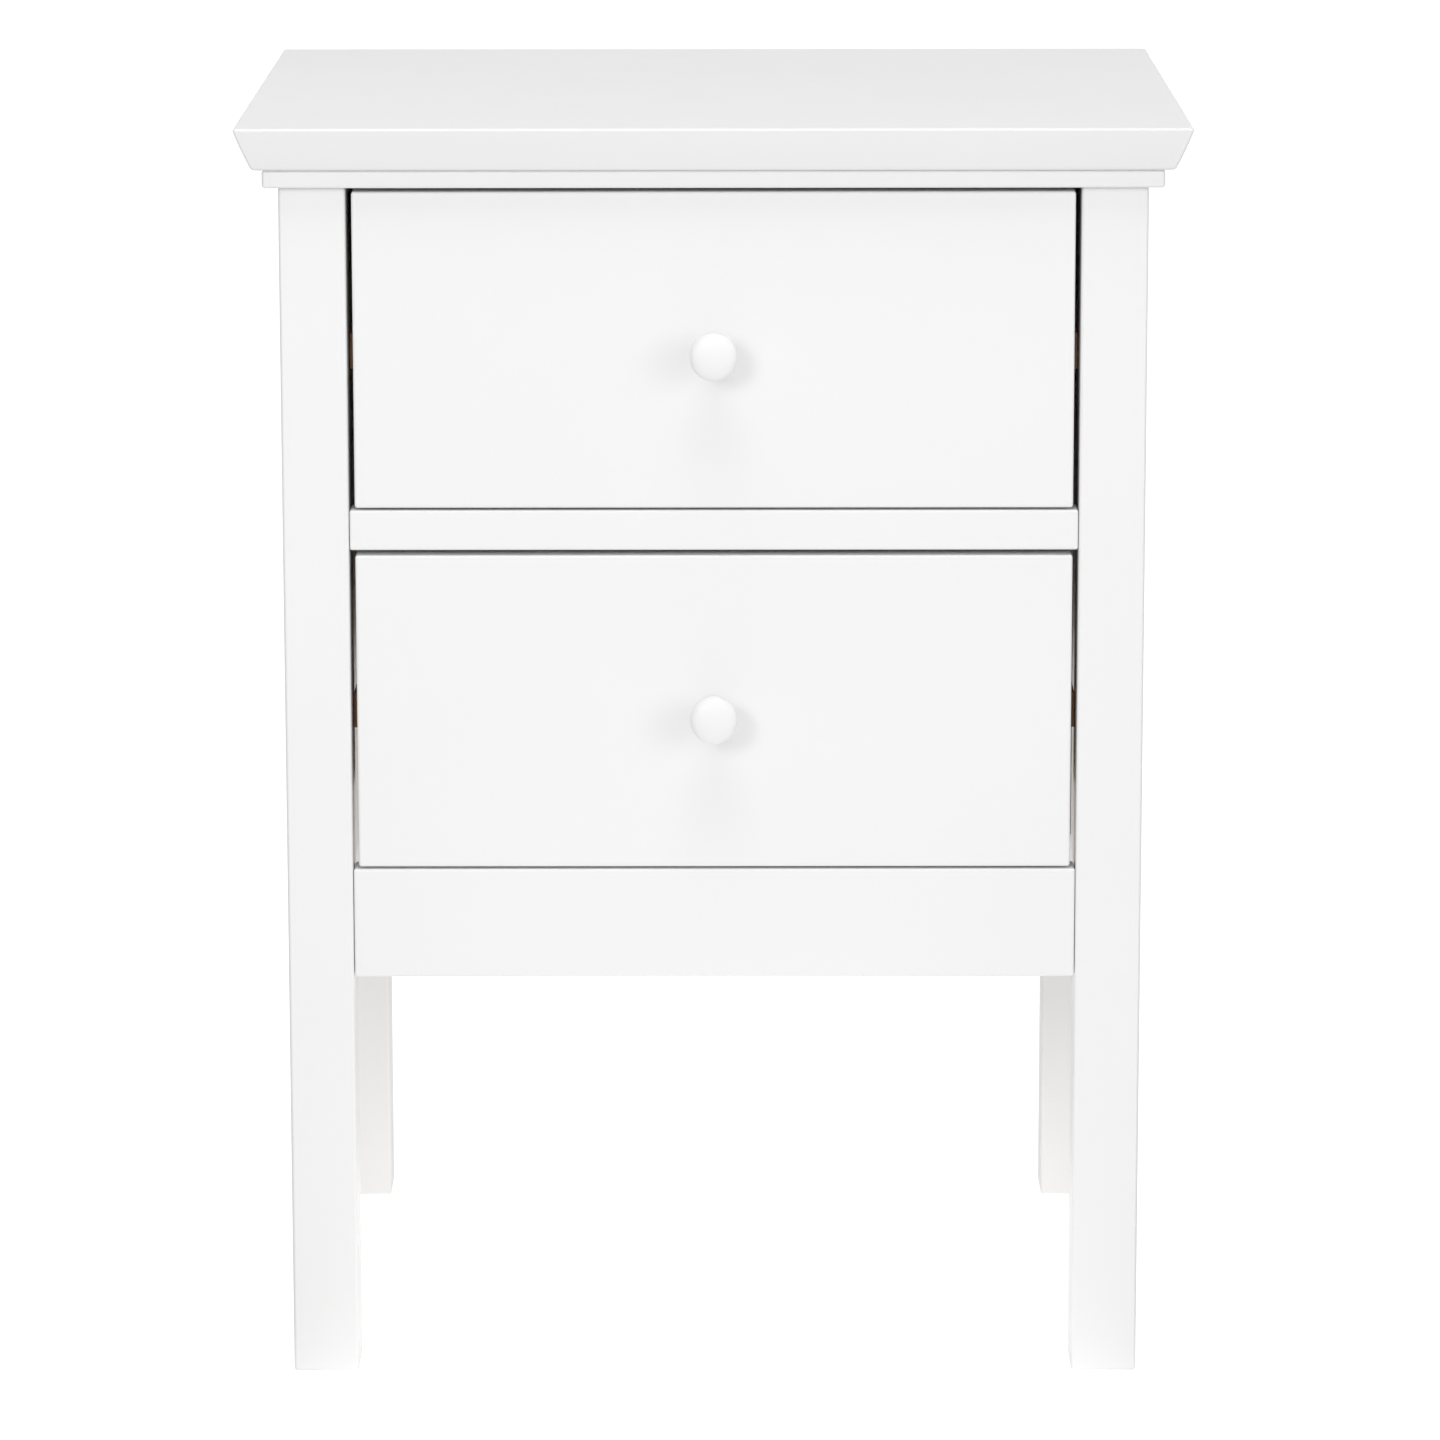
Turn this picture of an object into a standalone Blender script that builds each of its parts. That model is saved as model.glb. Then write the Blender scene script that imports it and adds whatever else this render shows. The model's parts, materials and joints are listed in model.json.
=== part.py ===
"""A two-drawer nightstand of white lacquered wood: four square posts, housed side panels, an
under-bevelled top on a thin cornice plate, and two inset drawers that hang on wooden runners.

Metres, +Z up. The origin is on the floor under the middle of the whole object, the drawer
fronts face -Y, and +X is to the right of someone who stands in front of the drawers.
"""

import math

import bmesh
import bpy
from mathutils import Vector

# Driving dimensions
HEIGHT = 0.600
TOP_WIDTH = 0.442
TOP_DEPTH = 0.365
TOP_THICKNESS = 0.0204
TOP_OVERHANG = 0.0192  # past the posts at the front and the sides; the back is flush
TOP_TAPER = 0.0083  # how far the under-bevel comes in over the thickness of the top
TOP_ARRIS_RADIUS = 0.0011
TOP_UNDER_RADIUS = 0.0026
PLATE_THICKNESS = 0.0084
PLATE_OVERHANG = 0.0070
POST = 0.031
POST_EASING = 0.0015
RAIL_THICKNESS = 0.018
RAIL_EASING = 0.0012
MIDDLE_RAIL_BOTTOM = 0.3999
MIDDLE_RAIL_HEIGHT = 0.0189
APRON_BOTTOM = 0.1945
APRON_HEIGHT = 0.0524
SIDE_PANEL_THICKNESS = 0.012
SIDE_PANEL_INSET = 0.005
BACK_PANEL_THICKNESS = 0.004
BACK_PANEL_INSET = 0.006
REAR_RAIL_INSET = 0.003
HOUSING_DEPTH = 0.005  # grooves that hold the edges of panels
GAP = 0.0003  # between pieces that touch

RUNNER_HEIGHT = 0.017
RUNNER_WIDTH = 0.0095
RUNNER_DROP = 0.0028  # the runner's middle is this far below the middle of the drawer front
RUNNER_BACK_GAP = 0.006
RUNNER_EASING = 0.0006

DRAWER_SIDE_GAP = 0.0028
DRAWER_TOP_GAP = 0.0025
DRAWER_BOTTOM_GAP = 0.0011
FRONT_THICKNESS = 0.018
FRONT_EASING = 0.0013
DRAWER_DEPTH = 0.318
DRAWER_SIDE_THICKNESS = 0.013
DRAWER_SIDE_BOTTOM = -0.040  # heights in a drawer count from the middle of its front
DRAWER_SIDE_TOP = 0.054
DRAWER_BACK_THICKNESS = 0.012
DRAWER_BACK_TOP = 0.048
GROOVE_DEPTH = 0.0075
GROOVE_PLAY = 0.0008  # above and below the runner
BOTTOM_THICKNESS = 0.004
BOTTOM_HEIGHT = -0.034
BOTTOM_PLAY = 0.0004
BOARD_EASING = 0.0006

KNOB_REACH = 0.0255
KNOB_HEAD_RADIUS = 0.0111
KNOB_HEAD_HEIGHT = 0.0200  # where the head is widest, from the drawer front
KNOB_NECK_RADIUS = 0.0058
KNOB_NECK_HEIGHT = 0.0085
KNOB_BASE_RADIUS = 0.0078
KNOB_BORE_DEPTH = 0.015
KNOB_TURNS = 24

SCREW_TURNS = 12
SCREW_PLAY = 0.0004
WOOD_SCREW = {"head": 0.0033, "cone": 0.0022, "shank": 0.0016, "length": 0.020, "tip": 0.004}
PANEL_SCREW = {"head": 0.0028, "cone": 0.0018, "shank": 0.0013, "length": 0.016, "tip": 0.003}
JOINT_SCREW = {"head": 0.0033, "cone": 0.0022, "shank": 0.0016, "length": 0.032, "tip": 0.004}
KNOB_SCREW_HEAD_RADIUS = 0.0042
KNOB_SCREW_HEAD_HEIGHT = 0.0022
KNOB_SCREW_FLAT_RADIUS = 0.0029  # of the flat on top of the domed head
KNOB_SCREW_RIM_HEIGHT = 0.0009
KNOB_SCREW_RADIUS = 0.0019
KNOB_SCREW_LENGTH = 0.030
DOWEL_RADIUS = 0.004
DOWEL_LENGTH = 0.024
DOWEL_PLAY = 0.0003
DOWEL_CHAMFER = 0.0008
DOWEL_HEIGHTS = (0.014, 0.036)  # above the bottom of an apron-high rail

# What follows from them
FRAME_WIDTH = TOP_WIDTH - 2 * TOP_OVERHANG
FRAME_DEPTH = TOP_DEPTH - TOP_OVERHANG
OPENING = FRAME_WIDTH - 2 * POST
FRONT_Y = -(FRAME_DEPTH - KNOB_REACH) / 2  # the plane of the drawer fronts
BACK_Y = FRONT_Y + FRAME_DEPTH
TOP_BOTTOM = HEIGHT - TOP_THICKNESS
PLATE_TOP = TOP_BOTTOM - GAP
PLATE_BOTTOM = PLATE_TOP - PLATE_THICKNESS
POST_TOP = PLATE_BOTTOM - GAP
POST_X = (FRAME_WIDTH - POST) / 2
SIDE_PANEL_X = FRAME_WIDTH / 2 - SIDE_PANEL_INSET - SIDE_PANEL_THICKNESS / 2
BACK_PANEL_Y = BACK_Y - BACK_PANEL_INSET - BACK_PANEL_THICKNESS / 2
REAR_RAIL_Y = BACK_Y - REAR_RAIL_INSET - RAIL_THICKNESS / 2
APRON_TOP = APRON_BOTTOM + APRON_HEIGHT
MIDDLE_RAIL_TOP = MIDDLE_RAIL_BOTTOM + MIDDLE_RAIL_HEIGHT
DRAWER_OPENINGS = {
    "upper": (MIDDLE_RAIL_TOP, PLATE_BOTTOM),
    "lower": (APRON_TOP, MIDDLE_RAIL_BOTTOM),
}
FRONT_WIDTH = OPENING - 2 * DRAWER_SIDE_GAP
SIDE_X = (FRONT_WIDTH - DRAWER_SIDE_THICKNESS) / 2
BOX_WIDTH = FRONT_WIDTH - 2 * DRAWER_SIDE_THICKNESS  # between the drawer's sides
BOX_FRONT = FRONT_THICKNESS + GAP
SIDES = {"left": -1, "right": 1}
ENDS = {"front": -1, "rear": 1}
CUT_EXTRA = 0.002  # how far a cutter runs past the face that it opens

# Ways to turn a piece whose own axis is +Z
FACE_FRONT = (math.pi / 2, 0, 0)
FACE_BACK = (-math.pi / 2, 0, 0)
FACE_DOWN = (math.pi, 0, 0)


def face_sideways(direction):
    """Turns +Z to +X for 1 and to -X for -1."""
    return (0, direction * math.pi / 2, 0)


def clear_scene():
    for item in list(bpy.data.objects):
        bpy.data.objects.remove(item, do_unlink=True)


def new_collection(name):
    collection = bpy.data.collections.new(name)
    bpy.context.scene.collection.children.link(collection)
    return collection


def new_material(name, colour, roughness, metallic=0.0):
    material = bpy.data.materials.new(name)
    material.use_nodes = True
    shader = material.node_tree.nodes["Principled BSDF"]
    shader.inputs["Base Color"].default_value = (*colour, 1.0)
    shader.inputs["Roughness"].default_value = roughness
    shader.inputs["Metallic"].default_value = metallic
    return material


clear_scene()
PARTS = new_collection("nightstand")
CUTTERS = new_collection("cutters")
FINISHES = {
    "white_lacquer": ((0.87, 0.87, 0.86), 0.38, 0.0),
    "runner_wood": ((0.36, 0.23, 0.13), 0.60, 0.0),
    "drawer_wood": ((0.70, 0.53, 0.34), 0.62, 0.0),
    "hardboard": ((0.42, 0.28, 0.17), 0.70, 0.0),
    "dowel_wood": ((0.72, 0.55, 0.36), 0.65, 0.0),
    "zinc_steel": ((0.66, 0.66, 0.64), 0.32, 1.0),
}


def add_object(name, mesh, location, finish=None, parent=None, rotation=(0, 0, 0)):
    """One sub-part with its own material, or a cutter where no finish is given."""
    item = bpy.data.objects.new(name, mesh)
    if finish:
        PARTS.objects.link(item)
        mesh.materials.append(new_material(name, *FINISHES[finish]))
    else:
        CUTTERS.objects.link(item)
        item.hide_render = True
        item.display_type = "WIRE"
    item.location = location
    item.rotation_euler = rotation
    item.parent = parent
    return item


def add_empty(name, location):
    empty = bpy.data.objects.new(name, None)
    empty.location = location
    PARTS.objects.link(empty)
    return empty


def finish_bmesh(shape, name):
    mesh = bpy.data.meshes.new(name)
    shape.to_mesh(mesh)
    shape.free()
    return mesh


def box(name, size, centre, finish=None, parent=None, easing=0.0, segments=2):
    """A board with eased edges."""
    shape = bmesh.new()
    bmesh.ops.create_cube(shape, size=1.0)
    bmesh.ops.scale(shape, vec=Vector(size), verts=shape.verts)
    item = add_object(name, finish_bmesh(shape, name), centre, finish, parent)
    if easing:
        bevel = item.modifiers.new("Eased edges", "BEVEL")
        bevel.width = easing
        bevel.segments = segments
        bevel.limit_method = "ANGLE"
    return item


def turned(name, profile, location, rotation, turns, finish=None, parent=None):
    """A piece turned about its own +Z, from an outline of (radius, height) that runs downwards."""
    shape = bmesh.new()
    points = [shape.verts.new((radius, 0, height)) for radius, height in profile]
    for upper, lower in zip(points, points[1:]):
        shape.edges.new((upper, lower))
    item = add_object(name, finish_bmesh(shape, name), location, finish, parent, rotation)
    screw = item.modifiers.new("Turned", "SCREW")
    screw.steps = turns
    screw.render_steps = turns
    screw.use_merge_vertices = True
    screw.merge_threshold = 0.00001
    screw.use_smooth_shade = finish == "white_lacquer"
    return item


def cut(item, cutter):
    boolean = item.modifiers.new(cutter.name, "BOOLEAN")
    boolean.operation = "DIFFERENCE"
    boolean.solver = "EXACT"
    boolean.object = cutter


def cylinder_profile(radius, top, bottom):
    return [(0, top), (radius, top), (radius, bottom), (0, bottom)]


def dowel_profile():
    """A dowel with chamfered ends, centred on height 0."""
    half = DOWEL_LENGTH / 2
    end = DOWEL_RADIUS - DOWEL_CHAMFER
    straight = half - DOWEL_CHAMFER
    return [
        (0, half),
        (end, half),
        (DOWEL_RADIUS, straight),
        (DOWEL_RADIUS, -straight),
        (end, -half),
        (0, -half),
    ]


def screw_profile(screw, grow=0.0):
    """A countersunk screw whose head is flush at height 0, or its hole, which grows all round."""
    head = screw["head"] + grow
    shank = screw["shank"] + grow
    mouth = [(0, CUT_EXTRA), (head, CUT_EXTRA)] if grow else [(0, 0)]
    return mouth + [
        (head, -grow),
        (shank, -screw["cone"] - grow),
        (shank, screw["tip"] - screw["length"] - grow),
        (0, -screw["length"] - grow),
    ]


def countersunk(name, screw, location, rotation, holders, parent=None):
    """A screw in its hole through every holder."""
    turned(name, screw_profile(screw), location, rotation, SCREW_TURNS, "zinc_steel", parent)
    hole = turned(
        name + "_hole",
        screw_profile(screw, SCREW_PLAY),
        location,
        rotation,
        SCREW_TURNS,
        parent=parent,
    )
    for holder in holders:
        cut(holder, hole)


def dowel(name, location, holders):
    """A wooden dowel along X across the seam between a rail and a post."""
    lengthwise = face_sideways(1)
    turned(name, dowel_profile(), location, lengthwise, SCREW_TURNS, "dowel_wood")
    radius = (DOWEL_RADIUS + DOWEL_PLAY) / math.cos(math.pi / SCREW_TURNS)
    reach = DOWEL_LENGTH / 2 + DOWEL_PLAY
    bore = cylinder_profile(radius, reach, -reach)
    hole = turned(name + "_bore", bore, location, lengthwise, SCREW_TURNS)
    for holder in holders:
        cut(holder, hole)


def make_top():
    """The top board: its front and side edges slope in towards the underside."""
    shape = bmesh.new()
    bmesh.ops.create_cube(shape, size=1.0)
    bmesh.ops.scale(shape, vec=(TOP_WIDTH, TOP_DEPTH, TOP_THICKNESS), verts=shape.verts)
    for vert in shape.verts:
        if vert.co.z < 0:
            vert.co.x -= math.copysign(TOP_TAPER, vert.co.x)
            if vert.co.y < 0:
                vert.co.y += TOP_TAPER
    for level, radius, segments in ((1, TOP_ARRIS_RADIUS, 2), (-1, TOP_UNDER_RADIUS, 3)):
        edges = [e for e in shape.edges if all(v.co.z * level > 0 for v in e.verts)]
        bmesh.ops.bevel(
            shape, geom=edges, offset=radius, segments=segments, profile=0.5, affect="EDGES"
        )
    centre = (0, BACK_Y - TOP_DEPTH / 2, HEIGHT - TOP_THICKNESS / 2)
    add_object("top_board", finish_bmesh(shape, "top_board"), centre, "white_lacquer")
    depth = FRAME_DEPTH + PLATE_OVERHANG
    box(
        "cornice_plate",
        (FRAME_WIDTH + 2 * PLATE_OVERHANG, depth, PLATE_THICKNESS),
        (0, BACK_Y - depth / 2, PLATE_TOP - PLATE_THICKNESS / 2),
        "white_lacquer",
        easing=POST_EASING,
    )


def make_posts():
    posts = {}
    for end, along in ENDS.items():
        y = FRONT_Y + POST / 2 if along < 0 else BACK_Y - POST / 2
        for side, across in SIDES.items():
            posts[end, side] = box(
                f"{end}_{side}_leg",
                (POST, POST, POST_TOP),
                (across * POST_X, y, POST_TOP / 2),
                "white_lacquer",
                easing=POST_EASING,
            )
    return posts


def make_rail(name, y, bottom, height, thickness, posts, dowel_heights):
    """A rail between two posts, with its dowels. posts maps a side to its post."""
    rail = box(
        name,
        (OPENING - 2 * GAP, thickness, height),
        (0, y, bottom + height / 2),
        "white_lacquer",
        easing=RAIL_EASING,
    )
    for side, across in SIDES.items():
        for number, above in enumerate(dowel_heights, start=1):
            place = (across * OPENING / 2, y, bottom + above)
            dowel(f"{name}_dowel_{side}_{number}", place, (rail, posts[side]))
    return rail


def make_rails(posts):
    front = {side: posts["front", side] for side in SIDES}
    rear = {side: posts["rear", side] for side in SIDES}
    y = FRONT_Y + RAIL_THICKNESS / 2
    make_rail(
        "middle_rail",
        y,
        MIDDLE_RAIL_BOTTOM,
        MIDDLE_RAIL_HEIGHT,
        RAIL_THICKNESS,
        front,
        (MIDDLE_RAIL_HEIGHT / 2,),
    )
    make_rail(
        "front_apron", y, APRON_BOTTOM, APRON_HEIGHT, RAIL_THICKNESS, front, DOWEL_HEIGHTS
    )
    return make_rail(
        "rear_rail",
        REAR_RAIL_Y,
        APRON_BOTTOM,
        APRON_HEIGHT,
        RAIL_THICKNESS,
        rear,
        DOWEL_HEIGHTS,
    )


def make_side_panels(posts):
    """Each panel's upright edges sit in grooves in its two posts, open at the top."""
    length = FRAME_DEPTH - 2 * POST + 2 * (HOUSING_DEPTH - GAP)
    height = POST_TOP - APRON_BOTTOM
    middle_y = (FRONT_Y + BACK_Y) / 2
    for side, across in SIDES.items():
        box(
            f"{side}_side_panel",
            (SIDE_PANEL_THICKNESS, length, height),
            (across * SIDE_PANEL_X, middle_y, APRON_BOTTOM + height / 2),
            "white_lacquer",
            easing=BOARD_EASING,
        )
        housing = box(
            f"{side}_side_housing",
            (SIDE_PANEL_THICKNESS + 2 * GAP, length + 2 * GAP, height + GAP + CUT_EXTRA),
            (across * SIDE_PANEL_X, middle_y, APRON_BOTTOM + (height - GAP + CUT_EXTRA) / 2),
        )
        cut(posts["front", side], housing)
        cut(posts["rear", side], housing)


def make_back_panel(posts, rear_rail):
    """A thin panel, housed in the rear posts and in the top of the rear rail."""
    width = OPENING + 2 * (HOUSING_DEPTH - GAP)
    bottom = APRON_TOP - HOUSING_DEPTH + GAP
    height = POST_TOP - bottom
    slot = box(
        "back_rail_housing",
        (width + 2 * GAP, BACK_PANEL_THICKNESS + 2 * GAP, HOUSING_DEPTH + CUT_EXTRA),
        (0, BACK_PANEL_Y, APRON_TOP + (CUT_EXTRA - HOUSING_DEPTH) / 2),
    )
    cut(rear_rail, slot)
    housing = box(
        "back_housing",
        (width + 2 * GAP, BACK_PANEL_THICKNESS + 2 * GAP, height + GAP + CUT_EXTRA),
        (0, BACK_PANEL_Y, bottom + (height - GAP + CUT_EXTRA) / 2),
    )
    box(
        "back_panel",
        (width, BACK_PANEL_THICKNESS, height),
        (0, BACK_PANEL_Y, bottom + height / 2),
        "hardboard",
    )
    for side in SIDES:
        cut(posts["rear", side], housing)


def make_runners(posts):
    """Hardwood strips screwed to the posts, which the drawers hang on."""
    front_end = FRONT_Y + FRONT_THICKNESS + 2 * GAP
    rear_end = BACK_PANEL_Y - BACK_PANEL_THICKNESS / 2 - RUNNER_BACK_GAP
    screw_places = {
        "front": (front_end + FRONT_Y + POST) / 2,
        "rear": (rear_end + BACK_Y - POST) / 2,
    }
    for level, limits in DRAWER_OPENINGS.items():
        z = drawer_middle(limits) - RUNNER_DROP
        for side, across in SIDES.items():
            name = f"{level}_{side}_runner"
            inner = across * (OPENING / 2 - RUNNER_WIDTH - GAP)
            runner = box(
                name,
                (RUNNER_WIDTH, rear_end - front_end, RUNNER_HEIGHT),
                (inner + across * RUNNER_WIDTH / 2, (front_end + rear_end) / 2, z),
                "runner_wood",
                easing=RUNNER_EASING,
                segments=1,
            )
            for end, y in screw_places.items():
                countersunk(
                    f"{name}_screw_{end}",
                    WOOD_SCREW,
                    (inner, y, z),
                    face_sideways(-across),
                    (runner, posts[end, side]),
                )


def drawer_middle(limits):
    bottom, top = limits
    return (bottom + DRAWER_BOTTOM_GAP + top - DRAWER_TOP_GAP) / 2


def knob_profile():
    """A domed head that narrows to a neck and widens again to the base, with a bore from behind."""
    dome_steps, under_steps, base_steps = 5, 5, 2
    outline = []
    for step in range(dome_steps + 1):
        angle = math.pi / 2 * step / dome_steps
        rise = (KNOB_REACH - KNOB_HEAD_HEIGHT) * math.cos(angle)
        outline.append((KNOB_HEAD_RADIUS * math.sin(angle), KNOB_HEAD_HEIGHT + rise))
    for step in range(1, under_steps + 1):
        share = step / under_steps
        swell = (1 + math.cos(math.pi * share)) / 2
        radius = KNOB_NECK_RADIUS + (KNOB_HEAD_RADIUS - KNOB_NECK_RADIUS) * swell
        outline.append((radius, KNOB_HEAD_HEIGHT + (KNOB_NECK_HEIGHT - KNOB_HEAD_HEIGHT) * share))
    for step in range(1, base_steps + 1):
        share = step / base_steps
        radius = KNOB_NECK_RADIUS + (KNOB_BASE_RADIUS - KNOB_NECK_RADIUS) * share**2
        outline.append((radius, KNOB_NECK_HEIGHT * (1 - share) + GAP * share))
    bore = KNOB_SCREW_RADIUS + SCREW_PLAY
    return outline + [(bore, GAP), (bore, KNOB_BORE_DEPTH), (0, KNOB_BORE_DEPTH)]


def make_knob(level, drawer, front):
    turned(
        f"{level}_knob", knob_profile(), (0, 0, 0), FACE_FRONT, KNOB_TURNS, "white_lacquer", drawer
    )
    seat = GAP  # under the head
    outline = [
        (0, KNOB_SCREW_HEAD_HEIGHT + seat),
        (KNOB_SCREW_FLAT_RADIUS, KNOB_SCREW_HEAD_HEIGHT + seat),
        (KNOB_SCREW_HEAD_RADIUS, KNOB_SCREW_RIM_HEIGHT + seat),
        (KNOB_SCREW_HEAD_RADIUS, seat),
        (KNOB_SCREW_RADIUS, seat),
        (KNOB_SCREW_RADIUS, -KNOB_SCREW_LENGTH),
        (0, -KNOB_SCREW_LENGTH),
    ]
    place = (0, FRONT_THICKNESS, 0)
    turned(f"{level}_knob_screw", outline, place, FACE_BACK, SCREW_TURNS, "zinc_steel", drawer)
    bore = cylinder_profile(KNOB_SCREW_RADIUS + SCREW_PLAY, CUT_EXTRA, -KNOB_SCREW_LENGTH)
    hole = turned(f"{level}_knob_bore", bore, place, FACE_BACK, SCREW_TURNS, parent=drawer)
    cut(front, hole)


def make_drawer_side(level, side, across, drawer):
    """A side board with the runner's groove outside and the bottom panel's groove inside."""
    length = DRAWER_DEPTH - BOX_FRONT
    height = DRAWER_SIDE_TOP - DRAWER_SIDE_BOTTOM
    middle_y = (DRAWER_DEPTH + BOX_FRONT) / 2
    board = box(
        f"{level}_drawer_{side}_side",
        (DRAWER_SIDE_THICKNESS, length, height),
        (across * SIDE_X, middle_y, (DRAWER_SIDE_TOP + DRAWER_SIDE_BOTTOM) / 2),
        "drawer_wood",
        drawer,
        easing=BOARD_EASING,
        segments=1,
    )
    groove = box(
        f"{level}_{side}_runner_groove",
        (2 * GROOVE_DEPTH, length + 2 * CUT_EXTRA, RUNNER_HEIGHT + 2 * GROOVE_PLAY),
        (across * FRONT_WIDTH / 2, middle_y, -RUNNER_DROP),
        parent=drawer,
    )
    cut(board, groove)
    return board


def make_drawer_bottom(level, drawer, front, sides, back):
    """A thin panel in grooves of the front and the sides, held up at the back by one screw."""
    width = BOX_WIDTH + 2 * (HOUSING_DEPTH - BOTTOM_PLAY)
    start = FRONT_THICKNESS - HOUSING_DEPTH + BOTTOM_PLAY
    end = DRAWER_DEPTH - 2 * GAP
    panel = box(
        f"{level}_drawer_bottom",
        (width, end - start, BOTTOM_THICKNESS),
        (0, (start + end) / 2, BOTTOM_HEIGHT + BOTTOM_THICKNESS / 2),
        "hardboard",
        drawer,
    )
    slot_end = DRAWER_DEPTH + CUT_EXTRA
    slot_start = start - BOTTOM_PLAY
    slot = box(
        f"{level}_bottom_groove",
        (
            BOX_WIDTH + 2 * HOUSING_DEPTH,
            slot_end - slot_start,
            BOTTOM_THICKNESS + 2 * BOTTOM_PLAY,
        ),
        (0, (slot_start + slot_end) / 2, BOTTOM_HEIGHT + BOTTOM_THICKNESS / 2),
        parent=drawer,
    )
    for board in (front, *sides):
        cut(board, slot)
    countersunk(
        f"{level}_drawer_bottom_screw",
        PANEL_SCREW,
        (0, DRAWER_DEPTH - DRAWER_BACK_THICKNESS / 2, BOTTOM_HEIGHT),
        FACE_DOWN,
        (panel, back),
        drawer,
    )


def make_drawer(level, limits):
    """Everything that slides: the empty stands on the slide's axis, in the plane of the front."""
    bottom, top = limits
    drawer = add_empty(f"{level}_drawer_slide", (0, FRONT_Y, drawer_middle(limits)))
    front = box(
        f"{level}_drawer_front",
        (FRONT_WIDTH, FRONT_THICKNESS, top - bottom - DRAWER_TOP_GAP - DRAWER_BOTTOM_GAP),
        (0, FRONT_THICKNESS / 2, 0),
        "white_lacquer",
        drawer,
        easing=FRONT_EASING,
        segments=3,
    )
    sides = {
        side: make_drawer_side(level, side, across, drawer) for side, across in SIDES.items()
    }
    back_bottom = BOTTOM_HEIGHT + BOTTOM_THICKNESS + BOTTOM_PLAY
    back = box(
        f"{level}_drawer_back",
        (BOX_WIDTH - 2 * GAP, DRAWER_BACK_THICKNESS, DRAWER_BACK_TOP - back_bottom),
        (0, DRAWER_DEPTH - DRAWER_BACK_THICKNESS / 2, (DRAWER_BACK_TOP + back_bottom) / 2),
        "drawer_wood",
        drawer,
        easing=BOARD_EASING,
        segments=1,
    )
    make_drawer_bottom(level, drawer, front, sides.values(), back)
    for side, across in SIDES.items():
        for end, height in (("lower", DRAWER_SIDE_BOTTOM / 2), ("upper", DRAWER_SIDE_TOP / 2)):
            countersunk(
                f"{level}_drawer_{side}_screw_{end}",
                JOINT_SCREW,
                (across * FRONT_WIDTH / 2, DRAWER_DEPTH - DRAWER_BACK_THICKNESS / 2, height),
                face_sideways(across),
                (sides[side], back),
                drawer,
            )
    make_knob(level, drawer, front)


def make_nightstand():
    make_top()
    posts = make_posts()
    rear_rail = make_rails(posts)
    make_side_panels(posts)
    make_back_panel(posts, rear_rail)
    make_runners(posts)
    for level, limits in DRAWER_OPENINGS.items():
        make_drawer(level, limits)


make_nightstand()
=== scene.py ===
"""Looks of the two-drawer nightstand: satin white lacquer outside, bare wood, hardboard and
zinc-plated screws inside, in plain soft studio light on a pale floor."""

import json
import math
import random

import bmesh
import bpy
from mathutils import Matrix, Vector


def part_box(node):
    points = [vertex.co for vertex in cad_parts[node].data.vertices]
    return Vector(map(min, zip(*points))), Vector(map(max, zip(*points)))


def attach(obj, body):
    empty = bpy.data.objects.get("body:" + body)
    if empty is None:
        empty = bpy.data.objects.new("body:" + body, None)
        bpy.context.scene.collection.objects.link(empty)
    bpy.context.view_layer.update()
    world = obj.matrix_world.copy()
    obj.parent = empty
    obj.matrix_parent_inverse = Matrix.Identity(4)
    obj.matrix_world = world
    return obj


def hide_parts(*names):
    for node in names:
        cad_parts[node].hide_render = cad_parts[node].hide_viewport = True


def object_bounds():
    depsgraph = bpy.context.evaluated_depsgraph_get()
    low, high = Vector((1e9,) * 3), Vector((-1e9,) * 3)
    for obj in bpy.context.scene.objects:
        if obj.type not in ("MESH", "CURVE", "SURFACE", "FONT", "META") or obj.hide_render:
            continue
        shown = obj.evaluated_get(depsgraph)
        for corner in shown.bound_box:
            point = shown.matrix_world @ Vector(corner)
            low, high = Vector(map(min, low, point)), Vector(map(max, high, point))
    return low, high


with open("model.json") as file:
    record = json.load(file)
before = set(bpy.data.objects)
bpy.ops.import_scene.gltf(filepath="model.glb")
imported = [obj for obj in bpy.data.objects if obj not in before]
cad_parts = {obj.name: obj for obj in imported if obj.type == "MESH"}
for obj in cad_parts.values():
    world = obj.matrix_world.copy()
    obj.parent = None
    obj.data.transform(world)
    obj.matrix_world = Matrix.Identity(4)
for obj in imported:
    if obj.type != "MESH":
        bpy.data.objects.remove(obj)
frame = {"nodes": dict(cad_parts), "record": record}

CAD_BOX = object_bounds()
NODES = frame["nodes"]
BODIES = frame["record"]["behaviour"]["bodies"]
BODY_OF = {node: body for body, members in BODIES.items() for node in members}
LEVELS = ("upper", "lower")
SIDES = {"left": -1, "right": 1}
ENDS = ("front", "rear")
AXES = "xyz"
RAILS_AT = {"front": ("middle_rail", "front_apron"), "rear": ("rear_rail",)}
RAIL_DOWELS = {"middle_rail": 1, "front_apron": 2, "rear_rail": 2}  # at each of its ends

# Camera: a long lens in front of the drawers and a little above the top, looking slightly down
CAMERA_DISTANCE = 3.08  # from the plane of the drawer fronts
CAMERA_HEIGHT = 0.9434
CAMERA_ACROSS = 0.0067
CAMERA_TILT = math.radians(11.464)
CAMERA_PAN = math.radians(0.073)
CAMERA_ROLL = math.radians(-0.060)
CAMERA_LENS = 166.95  # in millimetres, as is the sensor
SENSOR = 36.0
CLIP_START = 0.1

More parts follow.
